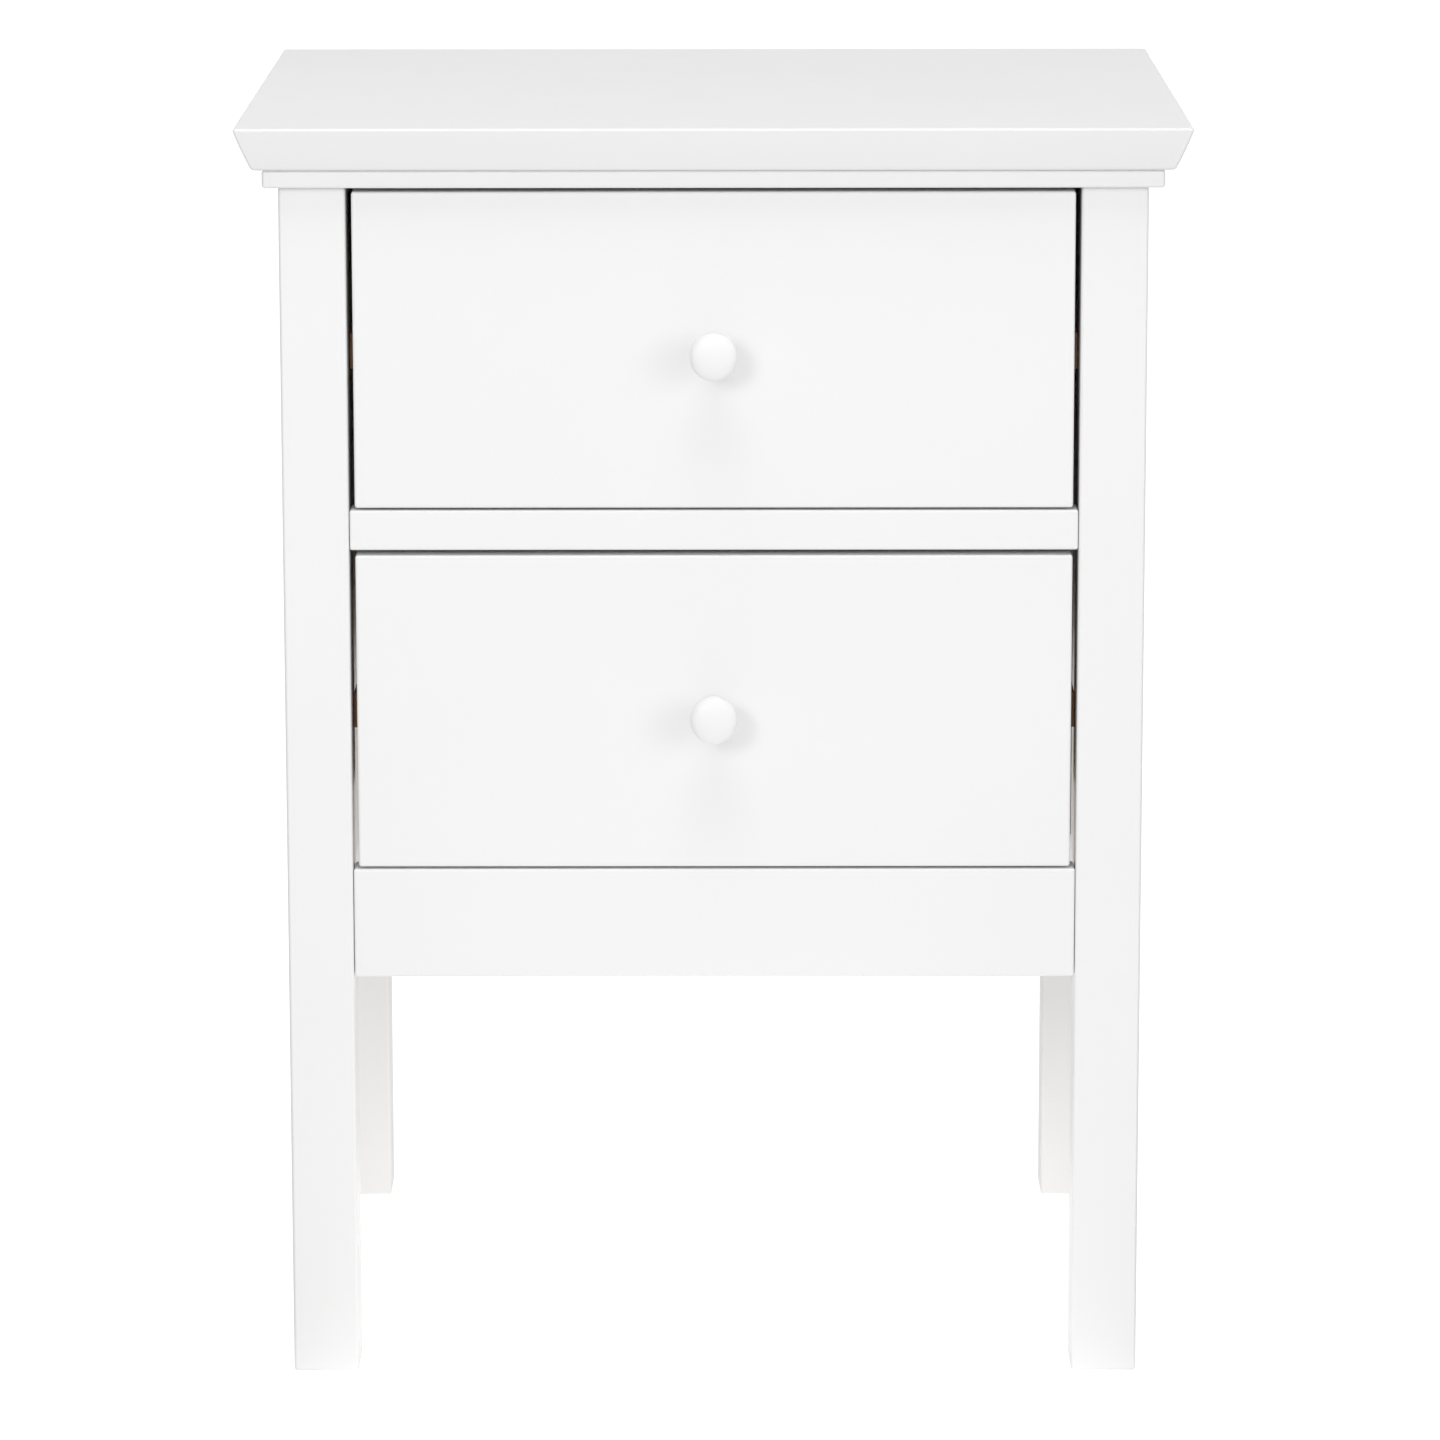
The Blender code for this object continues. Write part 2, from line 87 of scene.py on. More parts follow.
# Floor and light
FLOOR_SIZE = 80.0
FLOOR_SEGMENTS = 8
FLOOR_DROP = 0.0002
FLOOR_TONE = 0.30
FLOOR_ROUGHNESS = 0.9
FLOOR_GLOW = 0.67
FLOOR_SEEN = 0.92  # what the camera sees instead
UNDER_GLOW = 0.85  # more under the object
UNDER_REACH = 0.30
UNDER_FADE_START = 0.6  # of UNDER_REACH
FLOOR_SIDES = (0.15, 0.15)  # left and right, of the light from in front of and behind the object
SKY_SIDES = (0.10, 0.45)
SKY = ((0.0, 0.90), (0.30, 1.06), (0.80, 0.42))  # (height on the unit sphere, brightness)
SKY_EVEN = ((0.30, 0.0), (0.80, 1.0))  # (height, how far the sides are as bright as the front)
# Azimuths are from the front and grow to the right. A lamp that doesn't shine makes no glare
LAMPS = {
    "key": dict(azimuth=-21, elevation=19, distance=3.2, size=0.8, power=16.2, shines=True),
    "fill": dict(azimuth=40, elevation=13, distance=3.2, size=1.3, power=12.2, shines=False),
    "overhead": dict(azimuth=0, elevation=72, distance=2.6, size=1.4, power=21.6, shines=True),
}

# How far the fine shapes of a surface stand out, in metres
LACQUER_GRAIN = 0.000008
LACQUER_PEEL = 0.000012
LACQUER_DUST = 0.000003
HARDBOARD_FIBRES = 0.00003
HARDBOARD_WAVES = 0.00006
ZINC_SCRATCHES = 0.000006
ZINC_FILM = 0.000004
RING_SHARE = 0.8  # of the wood's fibres
PORE_SHARE = -1.5  # sunk

# Bare wood
PITH_WAVER = 0.006  # to each side
PITH_ASKEW = (0.03, 0.06)  # least and most slope along the board
PITH_ACROSS = 0.35  # at most, from the middle, as a share of the board's width
YEAR_SCALE = 0.30  # of the noise that makes fat and lean years, for rings that lie 1 apart
YEAR_STRAY = 2.6  # in rings
LATE_WOOD = ((0.0, 0.30), (0.12, 0.0), (0.50, 0.08), (0.92, 1.0))  # (share of the ring, darkness)
LATE_STRENGTH = 0.75
PORE_TONE = 0.62  # of the late wood's
PALE_SHARE = 0.82  # how much of its darkness the early wood keeps in the pale patches

# Shapes, in metres
EASING_STEPS = 4
SHARP_OVER = math.radians(40)
SCREW_SHARP_OVER = math.radians(30)
TOP_TAPER = 0.0083  # how far the under-bevel comes in over the thickness of the top
TOP_SWELL = 0.00025  # how far the middle of the under-bevel stands out
TOP_ARRIS_RADIUS = 0.0011
TOP_UNDER_RADIUS = 0.0026
TOP_CORNER_RADIUS = 0.0012
POST_EASING = 0.0015
RAIL_EASING = 0.0012
FRONT_EASING = 0.0013
BOARD_EASING = 0.0006
PANEL_EASING = 0.0003
GAP = 0.0003  # between pieces that touch
PLAY = 0.0004  # round screws and drawer bottoms
CUT_EXTRA = 0.002  # how far a cutter runs past the face that it opens
GROOVE_DEPTH = 0.0075
GROOVE_PLAY = 0.0008  # above and below the runner
KNOB_TURNS = 72
KNOB_DOME_STEPS = 16
KNOB_UNDER_STEPS = 16
KNOB_BASE_STEPS = 8
DOME_FLATNESS = 0.5  # 1 is an ellipse, and less is flatter in front
KNOB_HEAD_HEIGHT = 0.0200  # where the head is widest, from the drawer front
KNOB_NECK_RADIUS = 0.0058
KNOB_NECK_HEIGHT = 0.0085
KNOB_BASE_RADIUS = 0.0078
KNOB_BORE_DEPTH = 0.015
KNOB_SCREW_RADIUS = 0.0019
KNOB_SCREW_LENGTH = 0.030
PAN_STEPS = 6
PAN_FLATNESS = 0.8  # of the knob screw's head, as for the dome
PAN_RECESS_SHARE = 0.8  # of a recess in a flat head of the same radius
SCREW_TURNS = 24
SHANK_SHARE = 0.485  # of the head's radius
CONE_SHARE = 0.66
LIP_SHARE = 0.06
TIP_SHARE = 2.4  # of the shank's radius
THREAD_PITCH = 0.0013
THREAD_DEPTH = 0.24  # of the shank's radius
THREAD_ROWS = 6  # to each turn of the thread
THREAD_STEEPNESS = 2.4  # of the groove, down from the crest
THREAD_SHARPNESS = 0.7  # below 1 the crest is a sharp edge
RECESS_REACH = 0.62  # of the head's radius
RECESS_WIDTH = 0.24  # of its reach
RECESS_DEPTH = 0.55  # of the head's radius
RECESS_TAPER = 0.45  # the size at its bottom, as a share of that at its top
DOWEL_CHAMFER = 0.0008
DOWEL_FLUTES = 12
FLUTE_POINTS = 4
FLUTE_DEPTH = 0.0002

FRONT_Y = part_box("upper_drawer_front")[0].y
CENTRE = (CAD_BOX[0] + CAD_BOX[1]) / 2


def size_and_middle(node):
    low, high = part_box(node)
    return high - low, (low + high) / 2


# ---------------------------------------------------------------- materials


class Graph:
    """The node tree of a material or the world, with short calls to add and join nodes."""

    def __init__(self, owner, coordinates="Object"):
        owner.use_nodes = True
        self.owner = owner
        self.tree = owner.node_tree
        self.shader = self.tree.nodes.get("Principled BSDF")
        self.place = self.tree.nodes.new("ShaderNodeTexCoord").outputs[coordinates]

    def set(self, node, socket, value):
        if isinstance(value, bpy.types.NodeSocket):
            self.tree.links.new(value, node.inputs[socket])
        else:
            node.inputs[socket].default_value = value

    def add(self, kind, **inputs):
        node = self.tree.nodes.new("ShaderNode" + kind)
        for key, value in inputs.items():
            self.set(node, key, value)
        return node

    def math(self, operation, *values):
        node = self.tree.nodes.new("ShaderNodeMath")
        node.operation = operation
        for index, value in enumerate(values):
            self.set(node, index, value)
        return node.outputs[0]

    def square(self, value):
        return self.math("MULTIPLY", value, value)

    def moved(self, offset):
        """Object coordinates, moved by offset."""
        return self.add("Mapping", Vector=self.place, Location=offset).outputs[0]

    def split(self, where):
        return self.add("SeparateXYZ", Vector=where).outputs

    def noise(self, where, scale, detail=3.0, roughness=0.5):
        node = self.add("TexNoise", Vector=where, Scale=scale, Detail=detail, Roughness=roughness)
        return node.outputs["Fac"]

    def streaks(self, where, scales, detail=3.0, roughness=0.5):
        """Noise with its own scale along each axis."""
        stretched = self.add("Mapping", Vector=where, Scale=scales).outputs[0]
        return self.noise(stretched, scale=1.0, detail=detail, roughness=roughness)

    def spread(self, value, low, high):
        """Maps 0..1 to low..high."""
        return self.math("MULTIPLY_ADD", value, high - low, low)

    def front_and_back(self, sides):
        """1 towards the front and the back, down to sides towards the left and the right."""
        x, y = self.split(self.place)[:2]
        side = self.spread(self.math("GREATER_THAN", x, 0.0), *sides)
        forwards = self.square(y)
        share = self.math("DIVIDE", forwards, self.math("ADD", forwards, self.square(x)))
        return self.math("MULTIPLY_ADD", share, self.math("SUBTRACT", 1.0, side), side)

    def ramp(self, value, *stops):
        """stops: (position, colour or level)"""
        node = self.add("ValToRGB", Fac=value)
        elements = node.color_ramp.elements
        while len(elements) < len(stops):
            elements.new(0.5)
        for element, (position, colour) in zip(elements, stops):
            element.position = position
            element.color = (*colour, 1.0) if isinstance(colour, tuple) else (colour,) * 3 + (1.0,)
        return node.outputs["Color"]

    def mix(self, factor, first, second):
        node = self.tree.nodes.new("ShaderNodeMix")
        node.data_type = "RGBA"
        self.set(node, "Factor", factor)
        colours = [socket for socket in node.inputs if socket.type == "RGBA"]
        for socket, value in zip(colours, (first, second)):
            if isinstance(value, bpy.types.NodeSocket):
                self.tree.links.new(value, socket)
            else:
                socket.default_value = (*value, 1.0)
        return next(socket for socket in node.outputs if socket.type == "RGBA")

    def finish(self, colour, roughness, bumps, specular=0.5, metallic=0.0):
        """bumps: (height, how far it stands out in metres)"""
        self.set(self.shader, "Base Color", colour)
        self.set(self.shader, "Roughness", roughness)
        self.set(self.shader, "Specular IOR Level", specular)
        self.set(self.shader, "Metallic", metallic)
        for height, distance in bumps:
            node = self.add("Bump", Strength=1.0, Distance=distance, Height=height)
            linked = self.shader.inputs["Normal"].links
            if linked:
                self.set(node, "Normal", linked[0].from_socket)
            self.set(self.shader, "Normal", node.outputs[0])
        return self.owner


def along_scale(along, lengthwise, across):
    """A scale that stretches a pattern along one axis."""
    return tuple(lengthwise if axis == along else across for axis in AXES)


def seeded_offset(seed, reach=3.0):
    """So that two boards of one wood don't show the same piece of the tree."""
    source = random.Random(seed)
    return tuple(source.uniform(-reach, reach) for _ in AXES)


def lacquer_layers(g, along):
    """Tone, roughness and bumps of satin paint, under which the wood's grain barely shows."""
    grain = g.streaks(g.place, along_scale(along, 12.0, 520.0), detail=4.0, roughness=0.6)
    peel = g.noise(g.place, scale=420.0, detail=2.0, roughness=0.45)
    cloud = g.noise(g.place, scale=7.0)
    specks = g.noise(g.place, scale=900.0, detail=2.0, roughness=0.6)
    dust = g.ramp(specks, (0.70, 0.0), (0.78, 1.0))
    tone = g.ramp(cloud, (0.30, (0.868, 0.868, 0.867)), (0.70, (0.880, 0.880, 0.880)))
    tone = g.mix(g.spread(grain, 0.0, 0.04), tone, (0.845, 0.843, 0.838))
    rubbed = g.spread(g.noise(g.place, scale=38.0), 0.33, 0.45)
    sheen = g.math("ADD", rubbed, g.spread(peel, -0.02, 0.03))
    return tone, sheen, ((grain, LACQUER_GRAIN), (peel, LACQUER_PEEL), (dust, LACQUER_DUST))


def white_lacquer(name, along):
    g = Graph(bpy.data.materials.new(name))
    tone, sheen, bumps = lacquer_layers(g, along)
    return g.finish(tone, sheen, bumps)


def bare_wood(node, early, late, ring_spacing, pith, fibre_depth, roughness):
    """Solid wood sawn lengthwise from a log. The rings go round a pith that lies beyond one broad
    face, a little askew to the board, so they show as arches there and as arcs on the ends."""
    g = Graph(bpy.data.materials.new(node + "_wood"))
    size, middle = size_and_middle(node)
    thin, wide, run = sorted(range(3), key=lambda index: size[index])
    along = AXES[run]
    source = random.Random(node)
    side = source.choice((-1, 1))
    askew = source.uniform(*PITH_ASKEW) * source.choice((-1, 1))
    where = g.moved(seeded_offset(node))
    here = g.split(g.moved(-middle))

    bend = g.streaks(where, along_scale(along, 4.0, 14.0), detail=2.0)
    bend = g.spread(bend, side * pith - PITH_WAVER, side * pith + PITH_WAVER)
    depth = g.math("MULTIPLY_ADD", here[run], askew, g.math("ADD", here[thin], bend))
    offset = g.math("ADD", here[wide], source.uniform(-PITH_ACROSS, PITH_ACROSS) * size[wide])
    radius = g.math("SQRT", g.math("ADD", g.square(depth), g.square(offset)))
    years = g.add("CombineXYZ", X=radius).outputs[0]
    uneven = g.noise(years, scale=YEAR_SCALE / ring_spacing, detail=2.0)
    turns = g.math("MULTIPLY_ADD", uneven, YEAR_STRAY, g.math("DIVIDE", radius, ring_spacing))
    late_share = g.ramp(g.math("FRACT", turns), *LATE_WOOD)

    fibre = g.streaks(where, along_scale(along, 9.0, 700.0), detail=4.0, roughness=0.65)
    pores = g.streaks(where, along_scale(along, 90.0, 1500.0), detail=1.0)
    pores = g.ramp(pores, (0.60, 0.0), (0.72, 1.0))
    cloud = g.streaks(where, along_scale(along, 5.0, 22.0))
    pale = tuple(1.0 - PALE_SHARE * (1.0 - level) for level in early)
    tone = g.mix(g.math("MULTIPLY", late_share, LATE_STRENGTH), early, late)
    tone = g.mix(g.spread(fibre, -0.18, 0.42), tone, late)
    tone = g.mix(g.spread(pores, 0.0, 0.45), tone, tuple(PORE_TONE * level for level in late))
    tone = g.mix(g.spread(cloud, -0.15, 0.50), tone, pale)
    gloss = g.spread(fibre, roughness - 0.06, roughness + 0.10)
    bumps = (
        (fibre, fibre_depth),
        (late_share, fibre_depth * RING_SHARE),
        (pores, fibre_depth * PORE_SHARE),
    )
    return g.finish(tone, gloss, bumps, specular=0.35)


def drawer_wood(node):
    """Pale softwood, planed and sanded, without a finish."""
    return bare_wood(
        node,
        early=(0.64, 0.50, 0.345),
        late=(0.47, 0.325, 0.19),
        ring_spacing=0.0042,
        pith=0.045,
        fibre_depth=0.00003,
        roughness=0.58,
    )


def runner_wood(node):
    """Orange-brown hardwood, straight and close in the grain, worn smooth."""
    return bare_wood(
        node,
        early=(0.47, 0.255, 0.125),
        late=(0.36, 0.175, 0.078),
        ring_spacing=0.0017,
        pith=0.060,
        fibre_depth=0.00002,
        roughness=0.44,
    )


def dowel_wood(node):
    """Pale pinkish hardwood."""
    return bare_wood(
        node,
        early=(0.66, 0.48, 0.33),
        late=(0.55, 0.37, 0.235),
        ring_spacing=0.0024,
        pith=0.030,
        fibre_depth=0.00002,
        roughness=0.60,
    )


def hardboard_layers(g):
    """Pressed fibre: a tangle of short light and dark fibres in a hard brown skin."""
    tangle = [
        g.streaks(g.place, along_scale(axis, 160.0, 900.0), roughness=0.6) for axis in AXES
    ]
    fibres = g.math("MAXIMUM", g.math("MAXIMUM", tangle[0], tangle[1]), tangle[2])
    fibres = g.ramp(fibres, (0.50, 0.0), (0.72, 1.0))
    flecks = g.noise(g.place, scale=620.0, detail=2.0, roughness=0.6)
    flecks = g.ramp(flecks, (0.62, 0.0), (0.70, 1.0))
    cloud = g.noise(g.place, scale=12.0, detail=4.0)
    tone = g.ramp(cloud, (0.30, (0.315, 0.195, 0.108)), (0.70, (0.390, 0.250, 0.145)))
    tone = g.mix(g.spread(fibres, 0.0, 0.45), tone, (0.50, 0.345, 0.215))
    tone = g.mix(g.spread(flecks, 0.0, 0.55), tone, (0.17, 0.095, 0.05))
    gloss = g.spread(fibres, 0.42, 0.58)
    return tone, gloss, ((fibres, HARDBOARD_FIBRES), (cloud, HARDBOARD_WAVES))


def hardboard(name):
    g = Graph(bpy.data.materials.new(name))
    tone, gloss, bumps = hardboard_layers(g)
    return g.finish(tone, gloss, bumps, specular=0.35)


def painted_hardboard(name, outer_y):
    """Brown inside, and white on the face that looks out at the back of the carcase."""
    g = Graph(bpy.data.materials.new(name))
    tone, gloss, bumps = hardboard_layers(g)
    paint, sheen, paint_bumps = lacquer_layers(g, "z")
    outside = g.math("GREATER_THAN", g.split(g.place)[1], outer_y)
    tone = g.mix(outside, tone, paint)
    gloss = g.math("ADD", gloss, g.math("MULTIPLY", outside, g.math("SUBTRACT", sheen, gloss)))
    return g.finish(tone, gloss, (*bumps, *paint_bumps), specular=0.4)


def zinc(name):
    """Bright zinc plating: faintly blue, with fine scratches and a cloudy passivated film."""
    g = Graph(bpy.data.materials.new(name))
    film = g.noise(g.place, scale=260.0, detail=4.0, roughness=0.6)
    scratches = g.streaks(g.place, (2600.0, 500.0, 900.0), detail=2.0, roughness=0.7)
    tone = g.ramp(film, (0.30, (0.56, 0.57, 0.60)), (0.70, (0.68, 0.675, 0.65)))
    gloss = g.math("ADD", g.spread(film, 0.20, 0.34), g.spread(scratches, -0.04, 0.08))
    return g.finish(tone, gloss, ((scratches, ZINC_SCRATCHES), (film, ZINC_FILM)), metallic=1.0)


# ---------------------------------------------------------------- shapes


def put_in_scene(name, data):
    item = bpy.data.objects.new(name, data)
    bpy.context.scene.collection.objects.link(item)
    return item


def new_object(name, shape):
    mesh = bpy.data.meshes.new(name)
    shape.to_mesh(mesh)
    shape.free()
    return put_in_scene(name, mesh)


def cuboid(low, high):
    shape = bmesh.new()
    bmesh.ops.create_cube(shape, size=1.0)
    bmesh.ops.scale(shape, vec=high - low, verts=shape.verts)
    bmesh.ops.translate(shape, vec=(low + high) / 2, verts=shape.verts)
    return shape


def eased_cuboid(low, high, easing):
    shape = cuboid(low, high)
    bmesh.ops.bevel(
        shape, geom=shape.edges, offset=easing, segments=EASING_STEPS, profile=0.5, affect="EDGES"
    )
    return shape


def lathe(profile, turns):
    """A solid turned about +Z. profile has (radius, height), from the axis down to the axis."""
    shape = bmesh.new()
    angles = [2 * math.pi * step / turns for step in range(turns)]
    rings = []
    for radius, height in profile:
        points = [(radius * math.cos(a), radius * math.sin(a), height) for a in angles]
        rings.append([shape.verts.new(point) for point in (points if radius else points[:1])])
    for upper, lower in zip(rings, rings[1:]):
        for here in range(turns):
            after = (here + 1) % turns
            corners = (upper[here % len(upper)], lower[here % len(lower)])
            corners += (lower[after % len(lower)], upper[after % len(upper)])
            shape.faces.new(list(dict.fromkeys(corners)))
    return shape


def carve(item, cutters):
    """Cuts the cutters out of item and removes them."""
    for cutter in cutters:
        item.modifiers.new(cutter.name, "BOOLEAN").object = cutter
    cut = item.evaluated_get(bpy.context.evaluated_depsgraph_get())
    uncut = item.data
    item.data = bpy.data.meshes.new_from_object(cut)
    item.data.name = uncut.name
    item.modifiers.clear()
    bpy.data.meshes.remove(uncut)
    for cutter in cutters:
        bpy.data.objects.remove(cutter)


def soften(item, sharp_over=SHARP_OVER):
    """Smooth shading that keeps flat faces flat and sharp edges sharp."""
    item.data.shade_smooth()
    item.data.set_sharp_from_angle(angle=sharp_over)
    weighted = item.modifiers.new("Even shading", "WEIGHTED_NORMAL")
    weighted.keep_sharp = True
    weighted.weight = 100


def stand_for(item, node, material):
    """item takes the place of a CAD node, on its body and with the given material."""
    item.data.materials.clear()
    item.data.materials.append(material)
    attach(item, BODY_OF[node])
    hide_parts(node)


def lying_along(direction):
    """Turns +Z to direction."""
    return direction.to_track_quat("Z", "Y").to_matrix().to_4x4()


# ---------------------------------------------------------------- screws and dowels


def screw_facing(node):
    """The way a screw's head looks: runner screws look inwards, and the drawers' own outwards."""
    across = next((side for side in SIDES if f"_{side}_" in node), None)
    if across:
        return Vector((SIDES[across] * (-1 if "runner" in node else 1), 0, 0))
    return Vector((0, 1, 0)) if "knob" in node else Vector((0, 0, -1))


def screw_place(node):
    """(the head's radius, the screw's length, the place of the head's face)"""
    facing = screw_facing(node)
    size, middle = size_and_middle(node)
    run = max(range(3), key=lambda index: abs(facing[index]))
    across = size[(run + 1) % 3]
    face = Matrix.Translation(middle + facing * size[run] / 2) @ lying_along(facing)
    return across / 2, size[run], face


def screw_outline(head, length):
    """A countersunk screw from its face, at height 0, to its tip."""
    shank = head * SHANK_SHARE
    cone = head * CONE_SHARE
    threaded = length - cone - shank * TIP_SHARE
    rows = round(threaded / THREAD_PITCH * THREAD_ROWS)
    body = [(shank, -cone - threaded * row / rows) for row in range(rows + 1)]
    return [(0, 0), (head, 0), (head, -head * LIP_SHARE), *body, (0, -length)]


def screw_hole_outline(head, length):
    """The room that a countersunk screw needs, from above its face."""
    shank = head * SHANK_SHARE
    cone = head * CONE_SHARE
    return [
        (0, CUT_EXTRA),
        (head + PLAY, CUT_EXTRA),
        (head + PLAY, -PLAY),
        (shank + PLAY, -cone - PLAY),
        (shank + PLAY, -length - PLAY),
        (0, -length - PLAY),
    ]


def knob_screw_outline(head, length):
    """A pan head, down from height 0, on a machine screw with a flat end."""
    seat = KNOB_SCREW_LENGTH - length
    outline = []
    for step in range(PAN_STEPS + 1):
        turn = math.pi / 2 * step / PAN_STEPS
        radius = head * math.sin(turn) ** PAN_FLATNESS
        outline.append((radius, seat * (1 - math.cos(turn) ** PAN_FLATNESS)))
    outline += [(head, seat), (KNOB_SCREW_RADIUS, seat)]
    rows = round(KNOB_SCREW_LENGTH / THREAD_PITCH * THREAD_ROWS)
    for row in range(1, rows + 1):
        outline.append((KNOB_SCREW_RADIUS, seat - KNOB_SCREW_LENGTH * row / rows))
    return outline + [(0, -length)]


def dowel_outline(radius, length):
    """Centred on height 0, with chamfered ends."""
    half = length / 2
    end = radius - DOWEL_CHAMFER
    straight = half - DOWEL_CHAMFER
    return [(0, half), (end, half), (radius, straight), (radius, -straight), (end, -half), (0, -half)]


def cut_thread(shape, shank, top, bottom):
    """Draws the points of a straight shank in to a screw line, between the heights top and bottom."""
    for vert in shape.verts:
        if bottom - GAP < vert.co.z < top:
            turn = math.atan2(vert.co.y, vert.co.x) / (2 * math.pi)
            phase = (vert.co.z / THREAD_PITCH - turn) % 1.0
            groove = min(1.0, THREAD_STEEPNESS * abs(phase - 0.5) ** THREAD_SHARPNESS)
            vert.co.xy = vert.co.xy.normalized() * (shank * (1 - THREAD_DEPTH * groove))


def recess_cutters(head):
    """Two crossed blades that narrow downwards."""
    cutters = []
    for name, size in (("recess_x", (1.0, RECESS_WIDTH)), ("recess_y", (RECESS_WIDTH, 1.0))):
        shape = cuboid(Vector((-1, -1, -1)), Vector((1, 1, 1)))
        for vert in shape.verts:
            narrow = 1.0 if vert.co.z > 0 else RECESS_TAPER
            vert.co.x *= head * RECESS_REACH * size[0] * narrow
            vert.co.y *= head * RECESS_REACH * size[1] * narrow
            vert.co.z = CUT_EXTRA if vert.co.z > 0 else -head * RECESS_DEPTH
        cutters.append(new_object(name, shape))
    return cutters


def make_screw(node):
    head, length, face = screw_place(node)
    if "knob" in node:
        shape = lathe(knob_screw_outline(head, length), SCREW_TURNS)
        cut_thread(shape, KNOB_SCREW_RADIUS, KNOB_SCREW_LENGTH - length - GAP, -length)
        recess_size = head * PAN_RECESS_SHARE
    else:
        shape = lathe(screw_outline(head, length), SCREW_TURNS)
        shank = head * SHANK_SHARE
        cut_thread(shape, shank, -head * CONE_SHARE, shank * TIP_SHARE - length)
        recess_size = head
    screw = new_object(node + "_finished", shape)
    carve(screw, recess_cutters(recess_size))
    screw.data.transform(face)
    soften(screw, SCREW_SHARP_OVER)
    stand_for(screw, node, ZINC)


def make_dowel(node):
    size, middle = size_and_middle(node)
    shape = lathe(dowel_outline(size.z / 2, size.x), FLUTE_POINTS * DOWEL_FLUTES)
    for vert in shape.verts:
        turn = math.atan2(vert.co.y, vert.co.x) * DOWEL_FLUTES
        if vert.co.xy.length:
            vert.co.xy -= vert.co.xy.normalized() * FLUTE_DEPTH * (0.5 + 0.5 * math.cos(turn))
    dowel = new_object(node + "_finished", shape)
    dowel.data.transform(Matrix.Translation(middle) @ lying_along(Vector((1, 0, 0))))
    soften(dowel)
    stand_for(dowel, node, dowel_wood(node))


# ---------------------------------------------------------------- cutters for boards


def bore(node, radius, top, bottom, place):
    """A plain round hole along the axis of place."""
    outline = [(0, top), (radius, top), (radius, bottom), (0, bottom)]
    cutter = new_object(node + "_bore", lathe(outline, SCREW_TURNS))
    cutter.matrix_world = place
    return cutter


def dowel_bore(node):
    size, middle = size_and_middle(node)
    reach = size.x / 2 + GAP
    place = Matrix.Translation(middle) @ lying_along(Vector((1, 0, 0)))
    return bore(node, size.z / 2 + GAP, reach, -reach, place)


def knob_screw_bore(node):
    length, face = screw_place(node)[1:]
    return bore(node, KNOB_SCREW_RADIUS + PLAY, 0, -length - CUT_EXTRA, face)


def screw_hole(node):
    head, length, face = screw_place(node)
    hole = new_object(node + "_hole", lathe(screw_hole_outline(head, length), SCREW_TURNS))
    hole.matrix_world = face
    return hole


def housing_cutter(node, play=GAP, behind=0.0):
    """The room that a board needs in its neighbour. behind lengthens it to the back."""
    low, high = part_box(node)
    room = Vector((play, play, play))
    return new_object(node + "_housing", cuboid(low - room, high + room + Vector((0, behind, 0))))


def cutter_for(node):
    if "dowel" in node:
        return dowel_bore(node)
    if "knob_screw" in node:
        return knob_screw_bore(node)
    if "screw" in node:
        return screw_hole(node)
    if "drawer_bottom" in node:
        return housing_cutter(node, PLAY, CUT_EXTRA)
    return housing_cutter(node)


def runner_groove(level, side):
    """Open at both ends and towards the runner's post."""
    low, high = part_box(f"{level}_drawer_{side}_side")
    runner_low, runner_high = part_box(f"{level}_{side}_runner")
    outer = high.x if SIDES[side] > 0 else low.x
    depth = Vector((GROOVE_DEPTH, 0, 0))
    start = Vector((outer, low.y - CUT_EXTRA, runner_low.z - GROOVE_PLAY)) - depth
    end = Vector((outer, high.y + CUT_EXTRA, runner_high.z + GROOVE_PLAY)) + depth
    return new_object(f"{level}_{side}_groove", cuboid(start, end))


# ---------------------------------------------------------------- carcase and drawers


def make_board(node, easing, material, fitted=(), grooves=()):
    """A board with eased edges, and with the room that each fitted neighbour takes cut out."""
    board = new_object(node + "_finished", eased_cuboid(*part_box(node), easing))
    carve(board, [cutter_for(neighbour) for neighbour in fitted] + list(grooves))
    soften(board)
    stand_for(board, node, material)


def top_outline(height):
    """(height, inset at the front and sides, inset at the back), from the top face down."""
    lean = TOP_TAPER / height
    slope = math.atan(lean)
    arris, under = TOP_ARRIS_RADIUS, TOP_UNDER_RADIUS
    arris_inset = lean * arris + arris / math.cos(slope)
    under_inset = lean * (height - under) + under / math.cos(slope)
    outline = []
    for step in range(EASING_STEPS + 1):
        turn = (math.pi / 2 + slope) * step / EASING_STEPS
        back = arris * (1 - math.sin(min(turn, math.pi / 2)))
        outline.append((arris * (math.cos(turn) - 1), arris_inset - arris * math.sin(turn), back))
    lower = []
    for step in range(EASING_STEPS + 1):
        turn = (math.pi / 2 - slope) * (1 - step / EASING_STEPS)
        level = under * (1 - math.cos(turn)) - height
        lower.append((level, under_inset - under * math.sin(turn), under * (1 - math.sin(turn))))
    start, end = outline[-1], lower[0]
    for step in range(1, EASING_STEPS):
        share = step / EASING_STEPS
        swell = 4 * TOP_SWELL * share * (1 - share)
        inset = start[1] + (end[1] - start[1]) * share - swell
        outline.append((start[0] + (end[0] - start[0]) * share, inset, 0.0))
    return outline + lower


